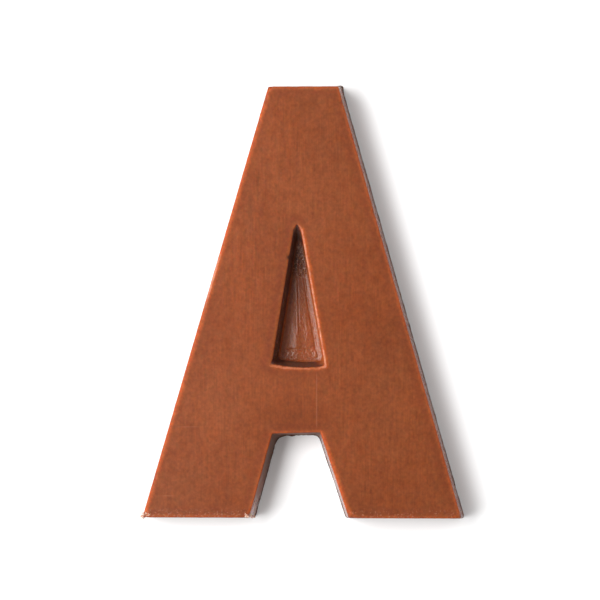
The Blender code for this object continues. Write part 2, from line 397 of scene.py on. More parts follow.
# Smooth steps: from, to, and what shows at each end where that isn't none and all
STREAKS_FROM_EDGE = (1.5, 4.0)
STREAK_SHARES = (0.3, 0.62, 0.4, 1.0)
TINT_RANGE = (0.25, 0.75)
SHADE_BAND_FROM = (0.4, 1.2)
SHADE_BAND_TO = (1.4, 3.6)
LIT_SIDES = (0.6, 1.0)
FLECK_AND_GLINT_RANGE = (0.5, 0.68)
DUST_AND_REFLECTION_RANGE = (0.4, 0.6, 0.3, 1.0)
UNLIT_SIDES = (0.5, 0.9)
PAINTED_LIGHT_RANGE = (0.3, 0.7, 0.6, 1.0)
PAINTED_RIM_HIGHLIGHT_WIDTH = (0.05, 0.42)
HIGHLIGHT_GAP_RANGE = (0.36, 0.6, 0.25, 1.0)
DULL_RIM_WIDTH = (0.1, 0.7)
WORN_RANGE = (0.56, 0.66)
WORN_FEET = (0.8, 3.6)
CRUMB_RANGE = (0.3, 0.7)

# How strongly each colour shows at its own place
SHADE_BAND_SHARE = 0.6
NARROW_TOP_SHADE_SHARE = 0.5
NARROW_TOP_DEEPER_SHADE_SHARE = 0.4
FLECKS_SHARE = 0.3
FLECKS_SHARE_BETWEEN = 0.06
NOTCH_SHADE_SHARE = 0.7
WORN_SHARE = 0.5
SCRATCHES_SHARE = 0.3

# How far the textures change the brightness, and how much less on the walls
BLOTCH_SHADE = 0.12
MOTTLE_SHADE = 0.18
GRAIN_SHADE = 0.75
WIDE_STREAK_SHADE = 0.2
FINE_STREAK_SHADE = 0.6
WALL_CALM = 0.8

# How far in from an edge its painted light reaches, and how much further where the edge faces the key light
PAINTED_LIGHT_REACH = 0.35
PAINTED_LIGHT_REACH_LIT = 1.1

# Straight scratches in the face: from x, y to x, y, half width and strength
SCRATCHES = (
    (4.75, 26.5, 4.75, 44.5, 0.3, 0.8),
    (-38.1, 27.4, -30.0, 27.4, 0.25, 0.5),
    (-42.7, 6.6, -37.3, 6.6, 0.3, 0.7),
)
SCRATCH_FADE = 2.0

# Shallow round pits in the face: spacing, radius, and the share of the places that have one
PIT_SPACING = 3.6
PIT_RADIUS = 0.55
PIT_SHARE = 0.22

# Roughness in the pocket, and what is added elsewhere
GLOSSY = 0.24
FACE_ROUGHER = 0.08
BACK_ROUGHER = 0.32
WALL_ROUGHER = 0.02
RIM_ROUGHER = 0.3
NOTCH_ROUGHER = 0.35
MOTTLE_ROUGHER = 0.12
CRUMB_ROUGHNESS = 0.5

# How light bends, and how far each colour scatters beneath the surface, times a length
REFRACTION = 1.34
SCATTERING = (1.0, 0.33, 0.12)
SCATTERING_LENGTH = 0.7

# Relief too fine for the mesh, in millimetres
FINE_STREAK_RELIEF = 0.012
WIDE_STREAK_RELIEF = 0.016
MOTTLE_RELIEF = 0.01
GRAIN_RELIEF = 0.008
PIT_RELIEF = -0.03
WALL_RELIEF = 0.004
WRINKLE_RELIEF = 0.09
FLOOR_GRAIN_RELIEF = 0.12
BACK_RELIEF = 0.06
SCRATCH_RELIEF = -0.02
WORN_RELIEF = 0.04
CRUMB_RELIEF = 0.05

# The ground that the letter lies on
FLOOR_SIZE = 6.0
FLOOR_COLOUR = (0.92, 0.92, 0.92)
FLOOR_ROUGHNESS = 0.7

# Soft lights: name, place, width, length and watts
AREA_LIGHTS = (
    ("key", (-0.42, 0.06, 0.60), 0.70, 0.42, 8.5),
    ("fill", (0.72, 0.42, 0.32), 0.6, 0.4, 1.4),
)
SKY_COLOUR = (1.0, 1.0, 1.0)
SKY_STRENGTH = 0.5


def crossing(first, second):
    """The point where two lines meet, each given as a point and a direction."""
    (p, d), (q, e) = first, second
    return p + d * ((q - p).cross(e) / d.cross(e))


def side_lines(corners, offsets):
    """The sides of a counter-clockwise outline, each moved outwards by its own offset."""
    lines = []
    for i, offset in enumerate(offsets):
        start = corners[i]
        along = (corners[(i + 1) % len(corners)] - start).normalized()
        outward = Vector((along.y, -along.x))
        lines.append((start + outward * offset, along))
    return lines


def rounded_outline(corners, radii, side_steps):
    """Points along an outline with rounded corners. Outlines with the same steps have matching points."""
    count = len(corners)
    sides = [(corners[(i + 1) % count] - corners[i]).normalized() for i in range(count)]
    reaches = [radii[i] * math.tan(sides[i - 1].angle(sides[i]) / 2) for i in range(count)]
    points = []
    for i, corner in enumerate(corners):
        start = corner - sides[i - 1] * reaches[i]
        end = corner + sides[i] * reaches[i]
        for step in range(CORNER_STEPS + 1):
            t = step / CORNER_STEPS
            points.append(start * (1 - t) ** 2 + corner * (2 * t * (1 - t)) + end * t**2)
        following = (i + 1) % count
        side_end = corners[following] - sides[i] * reaches[following]
        for step in range(1, side_steps[i]):
            points.append(end.lerp(side_end, step / side_steps[i]))
    return points


def steps_along(corners, pitch):
    count = len(corners)
    lengths = [(corners[(i + 1) % count] - corners[i]).length for i in range(count)]
    return [max(1, round(length / pitch)) for length in lengths]


def outward_normals(points, spread=1):
    """The outline's normals, each from the points that are spread places before and after."""
    count = len(points)
    normals = []
    for i in range(count):
        along = (points[(i + spread) % count] - points[i - spread]).normalized()
        normals.append(Vector((along.y, -along.x)))
    return normals


def nearness(point, x, y, radius):
    """One at the middle of a round spot, and zero at its radius and beyond."""
    near = max(0.0, 1 - (point - Vector((x, y))).length / radius)
    return near * near * (3 - 2 * near)


def chip_depth(point, chips):
    """How far a rim is broken back, or a fin stands out, at a point of its outline."""
    return max(deepest * nearness(point, x, y, radius) for x, y, radius, deepest in chips)


def broken_back(point, chips, turned):
    """How far a rim is broken back where it has turned by a share from the wall to the face."""
    return chip_depth(point, chips) * (CHIP_LOW_SHARE + (1 - CHIP_LOW_SHARE) * turned)


def grain_at(x, y, grain, seed):
    return noise.noise(Vector((x * grain, y * grain, seed)))


def fin_reach(point):
    """How far the fin on the back stands out, which varies along the edge."""
    reach = FIN_REACH + FIN_UNEVENNESS * grain_at(*point, FIN_GRAIN, FIN_SEED)
    reach += FIN_FRINGE * grain_at(*point, FIN_FRINGE_GRAIN, 2 * FIN_SEED)
    reach += chip_depth(point, FIN_TONGUES)
    return reach * (FIN_LEFT_SHARE if point.x < LEFT_EDGE_X + LEFT_EDGE_SLOPE * point.y else 1.0)


def raggedness(point):
    """The rim's fine unevenness, coarser at the letter's top and feet, where the mould is knocked."""
    from_end = min(point.y, HEIGHT - point.y)
    amount = RAGGED_END if from_end < RAGGED_END_REACH else RAGGED_SIDE
    return amount * grain_at(*point, RAGGED_GRAIN, RAGGED_SEED)


def face_corners():
    return [
        Vector((BASE_LEFT_X, 0.0)),
        Vector((NOTCH_BASE_LEFT_X, 0.0)),
        Vector(NOTCH_TOP_LEFT),
        Vector(NOTCH_TOP_RIGHT),
        Vector((NOTCH_BASE_RIGHT_X, 0.0)),
        Vector((BASE_RIGHT_X, 0.0)),
        Vector((TOP_RIGHT_X, HEIGHT)),
        Vector((TOP_LEFT_X, HEIGHT)),
    ]


def body_section(z, outset, side_steps):
    """The letter's outline at height z, and outset beyond its drafted wall."""
    below_face = 1 - z / THICKNESS
    offsets = [draft * below_face + outset for draft in DRAFTS]
    lines = side_lines(face_corners(), offsets)
    corners = [crossing(before, line) for before, line in zip(lines[-1:] + lines, lines)]
    radii = [FACE_RADIUS + (back - FACE_RADIUS) * below_face for back in BACK_RADII]
    return rounded_outline(corners, radii, side_steps)


def quarter_turns(radius, steps):
    """A quarter circle from a wall over its rim: drop below the face, inset, and share turned."""
    turns = [math.radians(90) * step / steps for step in range(steps + 1)]
    return [(radius * (1 - math.sin(turn)), radius * (1 - math.cos(turn)), math.sin(turn)) for turn in turns]


def fin_rings(side_steps):
    """Rings over the fin, each its points with their heights, and its zone."""
    rings = []
    for z, outset, fin_share in FIN_RINGS:
        points = body_section(z, outset, side_steps)
        moved = [p + n * fin_reach(p) * fin_share for p, n in zip(points, outward_normals(points))]
        rings.append(([(p, z) for p in moved], BACK if z == 0.0 else WALL))
    return rings


def wall_rings(side_steps):
    rings = []
    top = THICKNESS - RIM_RADIUS
    for step in range(WALL_STEPS):
        z = WALL_LOW + (top - WALL_LOW) * step / WALL_STEPS
        points = body_section(z, 0.0, side_steps)
        fade = math.sin(math.pi * step / WALL_STEPS)
        ring = []
        for p, n in zip(points, outward_normals(points)):
            wave = WALL_WAVE * fade * grain_at(*p, WALL_WAVE_GRAIN, z * WALL_WAVE_GRAIN)
            ring.append((p + n * wave, z))
        rings.append((ring, WALL))
    return rings


def rim_rings(side_steps):
    rings = []
    for drop, inset, turned in quarter_turns(RIM_RADIUS, RIM_STEPS):
        points = body_section(THICKNESS - drop, -inset, side_steps)
        ring = []
        for p, n in zip(points, outward_normals(points, RIM_SPREAD)):
            chip = broken_back(p, CHIPS, turned)
            lowered = CHIP_DROP * chip * min(1.0, drop / RIM_RADIUS + CHIP_TOP_SHARE * (turned < 1.0))
            ring.append((p - n * (chip + raggedness(p) * turned), THICKNESS - drop - lowered))
        rings.append((ring, (turned, 0.0, 0.0)))
    return rings


def pocket_corners(base_inset, right_inset, left_inset):
    """The pocket's outline, a long triangle with a pointed cap, with each side moved in from the rim."""
    rim = [Vector(corner) for corner in POCKET_RIM]
    base, right, _, left = side_lines(rim, (-base_inset, -right_inset, 0.0, -left_inset))
    low_left, low_right, peak = crossing(left, base), crossing(base, right), crossing(right, left)
    # The cap narrows more slowly down the pocket than it widens over the rounded rim
    narrower = right_inset / 2 if right_inset > 0 else 2 * right_inset
    width = max(POCKET_NARROWEST, POCKET_SHOULDER_WIDTH - narrower)
    narrowing = (low_right.x - low_left.x) / (peak.y - (low_left.y + low_right.y) / 2)
    shoulder = (Vector((0.0, peak.y - width / narrowing)), Vector((1.0, 0.0)))
    high_left, high_right = crossing(left, shoulder), crossing(right, shoulder)
    tip = (high_left + high_right) / 2 + Vector((POCKET_TIP_SHIFT, POCKET_TIP_RISE * width))
    return [low_left, low_right, high_right, tip, high_left]


def sagged(point, low_left, low_right, sag):
    """A point of the pocket's outline, moved down where it is near the middle of the base."""
    across = (point.x - low_left.x) / (low_right.x - low_left.x)
    near = max(0.0, 1 - (point.y - low_left.y) / POCKET_SAG_REACH)
    bow = max(0.0, 4 * across * (1 - across)) * near
    return point - Vector((0.0, sag * bow))


def pocket_section(insets, depth_share, side_steps):
    """Points of the pocket's outline at a share of its depth. Its base sags less at the floor."""
    corners = pocket_corners(*insets)
    radii = [rim + (floor - rim) * depth_share for rim, floor in zip(POCKET_RIM_RADII, POCKET_FLOOR_RADII)]
    points = rounded_outline(corners, radii, side_steps)
    sag = POCKET_BASE_SAG * (1 - depth_share / 2)
    return [sagged(p, *corners[:2], sag) for p in points]


def pocket_depth(y):
    """The floor rises towards the narrow top, where the mould's plastic could not be drawn so deep."""
    low, high = POCKET_RIM[0][1], POCKET_RIM[2][1]
    share = min(1.0, max(0.0, (y - low) / (high - low)))
    return POCKET_DEPTH_LOW + (POCKET_DEPTH_HIGH - POCKET_DEPTH_LOW) * share * share


def mouth_rings(side_steps):
    """Rings over the pocket's rounded rim, from the face down into its walls."""
    rings = []
    for drop, inset, turned in reversed(quarter_turns(MOUTH_RADIUS, MOUTH_STEPS)):
        points = pocket_section(3 * (-inset,), 0.0, side_steps)
        ring = []
        for p, n in zip(points, outward_normals(points, RIM_SPREAD)):
            chip = broken_back(p, POCKET_CHIPS, turned)
            at_base = max(0.0, 1 - (p.y - POCKET_RIM[1][1]) / POCKET_SAG_REACH)
            ragged = (RAGGED_SIDE + RAGGED_END * at_base) * grain_at(*p, RAGGED_GRAIN, RAGGED_SEED)
            ring.append((p + n * (chip + ragged * turned), THICKNESS - drop))
        rings.append((ring, (turned, (1 - turned) / 2, 0.0)))
    return rings


def pocket_profile():
    """The insets of the pocket's sides and the share of its depth, for each ring down its wall."""
    profile = []
    for before, after in zip(POCKET_PROFILE, POCKET_PROFILE[1:]):
        steps = after[-1]
        for step in range(1, steps + 1):
            profile.append([a + (b - a) * step / steps for a, b in zip(before[:-1], after[:-1])])
    return profile


def pocket_rings(side_steps):
    rings = []
    for *insets, depth_share in pocket_profile():
        points = pocket_section(insets, depth_share, side_steps)
        shown = max(0.0, (depth_share - RELIEF_STARTS) / (1 - RELIEF_STARTS))
        ring = []
        for p, n in zip(points, outward_normals(points)):
            grain = grain_at(*p, SLOPE_WOBBLE_GRAIN, SLOPE_WOBBLE_SEED)
            wobble = SLOPE_WOBBLE * shown * (1 - shown) * grain
            z = THICKNESS - depth_share * pocket_depth(p.y) + shown * floor_relief(*p)
            ring.append((p + n * wobble, z))
        rings.append((ring, (0.0, 0.5 + shown / 2, 0.0)))
    return rings


def along_line(x, y, ridge):
    """One on a wrinkle's middle line, and fading across its half width and beyond its ends."""
    x0, y0, x1, y1, half_width, _ = ridge
    start, line = Vector((x0, y0)), Vector((x1 - x0, y1 - y0))
    t = min(1.0, max(0.0, (Vector((x, y)) - start).dot(line) / line.length_squared))
    away = (Vector((x, y)) - start - line * t).length / half_width
    return math.exp(-away * away)


def floor_relief(x, y):
    """Relief of the pocket's floor, where the mould's plastic wrinkled."""
    relief = 0.0
    for ridge in FLOOR_RIDGES:
        relief += ridge[-1] * along_line(x, y, ridge)
    for cx, cy, rx, ry, height in FLOOR_SWELLS:
        relief += height * math.exp(-(((x - cx) / rx) ** 2) - ((y - cy) / ry) ** 2)
    rough = FLOOR_ROUGH_REST
    if y < FLOOR_ROUGH_LOW[0]:
        rough = FLOOR_ROUGH_LOW[1]
    if y > FLOOR_ROUGH_HIGH[0]:
        rough = FLOOR_ROUGH_HIGH[1]
    return relief + rough * grain_at(x, y, FLOOR_ROUGH_GRAIN, FLOOR_ROUGH_SEED)


def face_height(x, y, away):
    """The face waves slowly, less so near its rims."""
    wave = FACE_WAVE * grain_at(x, y, FACE_WAVE_GRAIN, FACE_WAVE_SEED)
    return THICKNESS + wave * min(1.0, away / FACE_WAVE_FADE)


def floor_height(x, y, _away):
    return THICKNESS - pocket_depth(y) + floor_relief(x, y)


def back_height(_x, _y, _away):
    return 0.0


def inside(points, loop):
    """Which points lie inside a loop, by counting the sides that a line to the right crosses."""
    px, py = points[:, 0, None], points[:, 1, None]
    ends = np.roll(loop, -1, axis=0)
    ax, ay, bx, by = loop[:, 0], loop[:, 1], ends[:, 0], ends[:, 1]
    crosses = (ay > py) != (by > py)
    meets = ax + (py - ay) * (bx - ax) / np.where(crosses, by - ay, 1.0)
    return (crosses & (px < meets)).sum(axis=1) % 2 == 1


def distance_to(points, loops):
    """How far each point is from the nearest side of the loops, and which side that is."""
    starts = np.concatenate(loops)
    along = np.concatenate([np.roll(loop, -1, axis=0) - loop for loop in loops])
    squares = (along**2).sum(axis=1)
    away, nearest = [], []
    for chunk in np.array_split(points, max(1, len(points) // POINTS_AT_A_TIME)):
        apart = chunk[:, None] - starts[None]
        t = np.clip((apart * along).sum(axis=2) / squares, 0.0, 1.0)
        distances = np.linalg.norm(apart - t[..., None] * along, axis=2)
        away.append(distances.min(axis=1))
        nearest.append(distances.argmin(axis=1))
    return np.concatenate(away), np.concatenate(nearest)


def grid_points(loop, pitch):
    """Points of a triangular grid over a loop's box."""
    low, high = loop.min(axis=0), loop.max(axis=0)
    rows = np.arange(low[1], high[1], pitch * math.sqrt(3) / 2)
    columns = np.arange(low[0], high[0], pitch)
    x = columns[None, :] + np.where(np.arange(len(rows)) % 2, pitch / 2, 0.0)[:, None]
    y = np.broadcast_to(rows[:, None], x.shape)
    return np.stack([x.ravel(), y.ravel()], axis=1)


def painted_light_by_facing(normal, sides):
    """How much painted light an edge gets from the way it faces along a normal, most towards the key light.
    """
    left, right, up, down = sides
    return (left if normal.x < 0 else right) * normal.x**2 + (up if normal.y > 0 else down) * normal.y**2


def patch_strengths(points):
    """The change of brightness and of redness at each point."""
    strengths = np.zeros((len(points), 3))
    for x, y, x_radius, y_radius, brightness, redness in FACE_PATCHES_AND_PAINTED_LIGHT:
        away = ((points[:, 0] - x) / x_radius) ** 2 + ((points[:, 1] - y) / y_radius) ** 2
        strengths += np.outer(np.exp(-away), (brightness, redness, 0.0))
    return strengths


def add_object(name, data):
    obj = bpy.data.objects.new(name, data)
    bpy.context.scene.collection.objects.link(obj)
    return obj


class Surface:
    """A closed surface as it grows: points in millimetres, what the material reads of them, and faces."""

    def __init__(self):
        self.points = []
        self.zones = []
        self.edges = []
        self.faces = []
        self.painted_light_share = []

    def add_ring(self, ring, zone, sides, facing):
        """Adds a ring of points. Facing is 1 where the solid lies inside the ring, and -1 where outside."""
        first = len(self.points)
        for (p, z), n in zip(ring, outward_normals([p for p, _ in ring], RIM_SPREAD)):
            self.points.append((p.x, p.y, z))
            self.zones.append(zone)
            self.edges.append(THICKNESS - z)
            self.painted_light_share.append(painted_light_by_facing(n * facing, sides))
        return list(range(first, len(self.points)))

    def loft(self, rings, sides, facing):
        """Adds the rings and the faces between them, and gives the first and the last ring."""
        loops = [self.add_ring(ring, zone, sides, facing) for ring, zone in rings]
        for lower, upper in zip(loops, loops[1:]):
            for i in range(len(lower)):
                j = (i + 1) % len(lower)
                self.faces.append((lower[i], lower[j], upper[j], upper[i]))
        return loops[0], loops[-1]

    def fill(self, loops, pitch, height, zone, is_face=False):
        """Fills the space between an outer loop and any loops inside it with small triangles."""
        rims = [np.array([self.points[i][:2] for i in loop]) for loop in loops]
        grid = grid_points(rims[0], pitch)
        grid = grid[inside(grid, rims[0])]
        for hole in rims[1:]:
            grid = grid[~inside(grid, hole)]
        rim_painted_light = np.concatenate([[self.painted_light_share[i] for i in loop] for loop in loops])
        away, nearest = distance_to(grid, rims)
        kept = away > pitch / 2
        first = len(self.points)
        for (x, y), edge, i in zip(grid[kept], away[kept], nearest[kept]):
            self.points.append((x, y, height(x, y, edge)))
            self.zones.append(zone)
            self.edges.append(edge if is_face else THICKNESS)
            self.painted_light_share.append(rim_painted_light[i])
        used = [i for loop in loops for i in loop] + list(range(first, len(self.points)))
        self.add_triangles(used, [len(loop) for loop in loops], rims[1:])

    def add_triangles(self, used, loop_sizes, holes):
        """Adds triangles between the used points, which begin with the loops, and leaves holes open."""
        flat = [Vector(self.points[i][:2]) for i in used]
        sides, start = [], 0
        for size in loop_sizes:
            sides += [(start + i, start + (i + 1) % size) for i in range(size)]
            start += size
        _, _, triangles, came_from, _, _ = geometry.delaunay_2d_cdt(flat, sides, [], 1, NEAREST_POINTS)
        corners = [[used[came_from[v][0]] for v in triangle] for triangle in triangles]
        middles = np.array([[self.points[i][:2] for i in corner] for corner in corners]).mean(axis=1)
        keep = np.ones(len(corners), bool)
        for hole in holes:
            keep &= ~inside(middles, hole)
        self.faces += [corner for corner, kept in zip(corners, keep) if kept]

    def to_object(self, name, origin):
        """A mesh object of the surface in metres, with origin at the world's origin."""
        mesh = bpy.data.meshes.new(name)
        metres = (np.array(self.points) - np.array([origin.x, origin.y, 0.0])) * MM
        mesh.from_pydata(metres.tolist(), [], self.faces)
        work = bmesh.new()
        work.from_mesh(mesh)
        bmesh.ops.recalc_face_normals(work, faces=work.faces)
        work.to_mesh(mesh)
        work.free()
        attributes = (
            ("zones", "FLOAT_COLOR", "color", [(*zone, 1.0) for zone in self.zones]),
            ("edge_mm", "FLOAT", "value", self.edges),
            ("painted_light_share", "FLOAT", "value", self.painted_light_share),
            ("patches_and_painted_light", "FLOAT_VECTOR", "vector", patch_strengths(np.array(self.points))),
        )
        for attribute, kind, field, values in attributes:
            data = mesh.attributes.new(attribute, kind, "POINT").data
            data.foreach_set(field, np.array(values).ravel())
        mesh.shade_smooth()
        return add_object(name, mesh)


def build_letter():
    """The letter as one fine closed mesh, and its origin in the design's millimetres."""
    surface = Surface()
    side_steps = steps_along(face_corners(), OUTLINE_PITCH)
    body = fin_rings(side_steps) + wall_rings(side_steps) + rim_rings(side_steps)
    back_loop, face_loop = surface.loft(body, OUTER_PAINTED_LIGHT, 1)
    pocket_steps = steps_along(pocket_corners(0.0, 0.0, 0.0), POCKET_PITCH)
    pocket = mouth_rings(pocket_steps) + pocket_rings(pocket_steps)
    mouth_loop, floor_loop = surface.loft(pocket, POCKET_PAINTED_LIGHT, -1)
    surface.fill([face_loop, mouth_loop], FACE_PITCH, face_height, FACE, is_face=True)
    surface.fill([floor_loop], FLOOR_PITCH, floor_height, POCKET_FLOOR)
    surface.fill([back_loop], BACK_PITCH, back_height, BACK)
    flat = np.array(surface.points)[:, :2]
    origin = Vector((flat.min(axis=0) + flat.max(axis=0)) / 2)
    low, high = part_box(NODE)
    origin -= Vector(((low.x + high.x) / 2, (low.y + high.y) / 2)) / MM
    return surface.to_object("letter", origin), origin


class Nodes:
    """A new material, and nodes that are added to its tree and linked to their inputs."""

    def __init__(self, name):
        self.material = bpy.data.materials.new(name)
        self.material.use_nodes = True
        self.tree = self.material.node_tree
        self.shader = self.tree.nodes["Principled BSDF"]
        place = self.add("ShaderNodeTexCoord").outputs["Object"]
        self.millimetres = self.vector_math("MULTIPLY", place, 3 * (1 / MM,))

    def put(self, socket, value):
        if isinstance(value, bpy.types.NodeSocket):
            self.tree.links.new(value, socket)
        else:
            socket.default_value = value

    def put_all(self, node, **inputs):
        for name, value in inputs.items():
            self.put(node.inputs[name.replace("_", " ")], value)

    def add(self, kind, settings=None, **inputs):
        node = self.tree.nodes.new(kind)
        for name, value in (settings or {}).items():
            setattr(node, name, value)
        self.put_all(node, **inputs)
        return node

    def math(self, operation, *values):
        node = self.add("ShaderNodeMath", {"operation": operation})
        for socket, value in zip(node.inputs, values):
            self.put(socket, value)
        return node.outputs[0]

    def total(self, *terms):
        """The sum of terms, each a value and its weight."""
        running = 0.0
        for value, weight in terms:
            running = self.math("MULTIPLY_ADD", value, weight, running)
        return running

    def product(self, first, *others):
        running = first
        for value in others:
            running = self.math("MULTIPLY", running, value)
        return running

    def rest(self, value):
        """What is left of one."""
        return self.math("SUBTRACT", 1.0, value)

    def centred(self, texture):
        """A texture's departure from its middle."""
        return self.math("SUBTRACT", texture, 0.5)

    def between(self, value, low, high, at_low=0.0, at_high=1.0):
        """A smooth step of value from low to high."""
        steps = {"From_Min": low, "From_Max": high, "To_Min": at_low, "To_Max": at_high}
        node = self.add("ShaderNodeMapRange", {"interpolation_type": "SMOOTHSTEP"}, Value=value, **steps)
        return node.outputs["Result"]

    def falling(self, value, low, high):
        """A smooth step of value from one at low to zero at high."""
        return self.between(value, low, high, 1.0, 0.0)

    def vector_math(self, operation, vector, other, output="Vector"):
        node = self.add("ShaderNodeVectorMath", {"operation": operation})
        self.put(node.inputs[0], vector)
        self.put(node.inputs[1], other)
        return node.outputs[output]

    def scaled(self, waves):
        """The place, with its own number of waves in a millimetre along each axis."""
        return self.vector_math("MULTIPLY", self.millimetres, waves)

    def noise(self, waves, detail, roughness=0.5):
        """Noise from about 0 to 1."""
        shape = {"Scale": 1.0, "Detail": detail, "Roughness": roughness}
        return self.add("ShaderNodeTexNoise", Vector=self.scaled(waves), **shape).outputs["Fac"]

    def mix(self, share, first, second, blend="MIX"):
        node = self.add("ShaderNodeMix", {"data_type": "RGBA", "blend_type": blend})
        self.put(node.inputs["Factor"], share)
        colours = [socket for socket in node.inputs if socket.type == "RGBA"]
        for socket, value in zip(colours, (first, second)):
            self.put(socket, value if isinstance(value, bpy.types.NodeSocket) else (*value, 1.0))
        return next(socket for socket in node.outputs if socket.type == "RGBA")

    def attribute(self, name, output="Fac"):
        return self.add("ShaderNodeAttribute", {"attribute_name": name}).outputs[output]

    def bump(self, height):
        """The normals of a surface with a relief in millimetres."""
        return self.add("ShaderNodeBump", Height=height, Strength=1.0, Distance=MM).outputs["Normal"]


def read_letter(nodes, origin):
    """Where a point of the letter lies, how much of each zone it is, and what its mesh says of it."""
    at = SimpleNamespace()
    at.place = nodes.vector_math("ADD", nodes.millimetres, (origin.x, origin.y, 0.0))
    axes = nodes.add("ShaderNodeSeparateXYZ", Vector=at.place)
    at.x, at.y = axes.outputs["X"], axes.outputs["Y"]
    zones = nodes.add("ShaderNodeSeparateColor", Color=nodes.attribute("zones", "Color"))
    at.face, at.back = zones.outputs["Red"], zones.outputs["Blue"]
    at.pocket = nodes.between(zones.outputs["Green"], 0.0, 0.5)
    at.floor = nodes.between(zones.outputs["Green"], 0.5, 1.0)
    at.wall = nodes.rest(nodes.total((at.face, 1.0), (at.pocket, 1.0), (at.back, 1.0)))
    # side: how much an edge faces the lights, which sets the painted light and shade of edges and walls
    at.edge, at.side = nodes.attribute("edge_mm"), nodes.attribute("painted_light_share")
    patches_and_painted_light = nodes.add("ShaderNodeSeparateXYZ", Vector=nodes.attribute("patches_and_painted_light", "Vector"))
    at.brighter, at.redder = patches_and_painted_light.outputs["X"], patches_and_painted_light.outputs["Y"]
    from_pocket = nodes.vector_math("DISTANCE", at.place, POCKET_MIDDLE, "Value")
    at.outside = nodes.between(from_pocket, *POCKET_SURROUND)
    return at


def letter_textures(nodes, at):
    """The textures that show in the colour and in the relief."""
    streak_shares = nodes.between(nodes.noise(*STREAK_PLACES), *STREAK_SHARES)
    return SimpleNamespace(
        blotches=nodes.noise(*BLOTCHES),
        mottle=nodes.noise(*MOTTLE),
        grain=nodes.noise(*GRAIN),
        wide_streaks=nodes.noise(*WIDE_STREAKS),
        fine_streaks=nodes.noise(*FINE_STREAKS),
        streaked=nodes.product(at.face, nodes.between(at.edge, *STREAKS_FROM_EDGE), streak_shares),
    )


def face_colour(nodes, at, texture):
    """Redder and paler brown, with a band of painted shade a little inside the edges, less where they face
    the light.
    """
    tint = nodes.total((texture.blotches, 0.5), (texture.mottle, 0.5), (at.redder, -0.5))
    colour = nodes.mix(nodes.between(tint, *TINT_RANGE), CHOCOLATE_RED, CHOCOLATE_DUSTY)
    band = nodes.product(nodes.between(at.edge, *SHADE_BAND_FROM), nodes.falling(at.edge, *SHADE_BAND_TO))
    band = nodes.product(band, at.face, nodes.rest(at.side), SHADE_BAND_SHARE)
    return nodes.mix(band, colour, EDGE_SHADE_COLOUR)


def add_pocket(nodes, at, colour):
    """The pocket's walls, with painted shade and painted light by the way they face the light, and its
    floor, with painted shade towards the narrow top.
    """
    lit = nodes.product(nodes.between(at.side, *LIT_SIDES), nodes.between(at.y, *LIT_FADE))
    colour = nodes.mix(at.pocket, colour, nodes.mix(lit, SHADED_POCKET_WALL_COLOUR, POCKET_LIT_COLOUR))
    colour = nodes.mix(at.floor, colour, POCKET_FLOOR_COLOUR)
    # Painted shade on the floor towards the narrow top
    top_shade = nodes.between(at.y, *NARROW_TOP_SHADE_FROM)
    deeper_top_shade = nodes.between(at.y, *NARROW_TOP_DEEPER_SHADE_FROM)
    narrow_top_shade = nodes.total((top_shade, NARROW_TOP_SHADE_SHARE), (deeper_top_shade, NARROW_TOP_DEEPER_SHADE_SHARE))
    return nodes.mix(nodes.product(narrow_top_shade, at.floor), colour, NARROW_TOP_SHADE_COLOUR)


def add_flecks(nodes, at, colour):
    """Pale flecks where the pocket's floor is rough, and a few between: partly broken chocolate and partly
    painted glints.
    """
    rough = nodes.math("ADD", nodes.between(at.y, *FLECKS_ABOVE), nodes.falling(at.y, *FLECKS_BELOW))
    flecked = nodes.math("MULTIPLY_ADD", rough, FLECKS_SHARE, FLECKS_SHARE_BETWEEN)
    flecks_and_glints = nodes.between(nodes.noise(*FLECKS_AND_GLINTS), *FLECK_AND_GLINT_RANGE)
    return nodes.mix(nodes.product(flecks_and_glints, flecked, at.floor), colour, BREAK_COLOUR)


def notch_shade(nodes, at):
    """How deep a wall lies in the notch's painted shade, on walls that face away from the light."""
    away = nodes.vector_math("DISTANCE", at.place, NOTCH_MIDDLE, "Value")
    in_notch = nodes.product(at.wall, nodes.falling(away, *NOTCH_SURROUND))
    unlit = nodes.falling(at.side, *UNLIT_SIDES)
    return nodes.product(in_notch, unlit, nodes.between(at.y, *NOTCH_SHADE_FROM))


def add_walls(nodes, at, shady, colour):
    """The walls, with painted shade at their foot and in the notch, a dusty corner with a painted
    reflection, and the back.
    """
    foot_shade = nodes.between(at.edge, *WALL_FOOT_SHADE_FROM)
    colour = nodes.mix(at.wall, colour, nodes.mix(foot_shade, WALL_COLOUR, WALL_FOOT_SHADE_COLOUR))
    colour = nodes.mix(nodes.product(shady, NOTCH_SHADE_SHARE), colour, NOTCH_SHADE_COLOUR)
    # Dust, and a painted reflection of the lit floor, on one corner of the left foot
    away = nodes.vector_math("DISTANCE", at.place, DUST_AND_REFLECTION_CORNER, "Value")
    dust_and_reflection = nodes.product(nodes.between(away, *DUST_AND_REFLECTION_REACH), nodes.between(nodes.noise(*DUST_AND_REFLECTION_PATCHES), *DUST_AND_REFLECTION_RANGE))
    colour = nodes.mix(nodes.product(at.wall, dust_and_reflection), colour, DUST_AND_REFLECTION_COLOUR)
    return nodes.mix(at.back, colour, BACK_COLOUR)


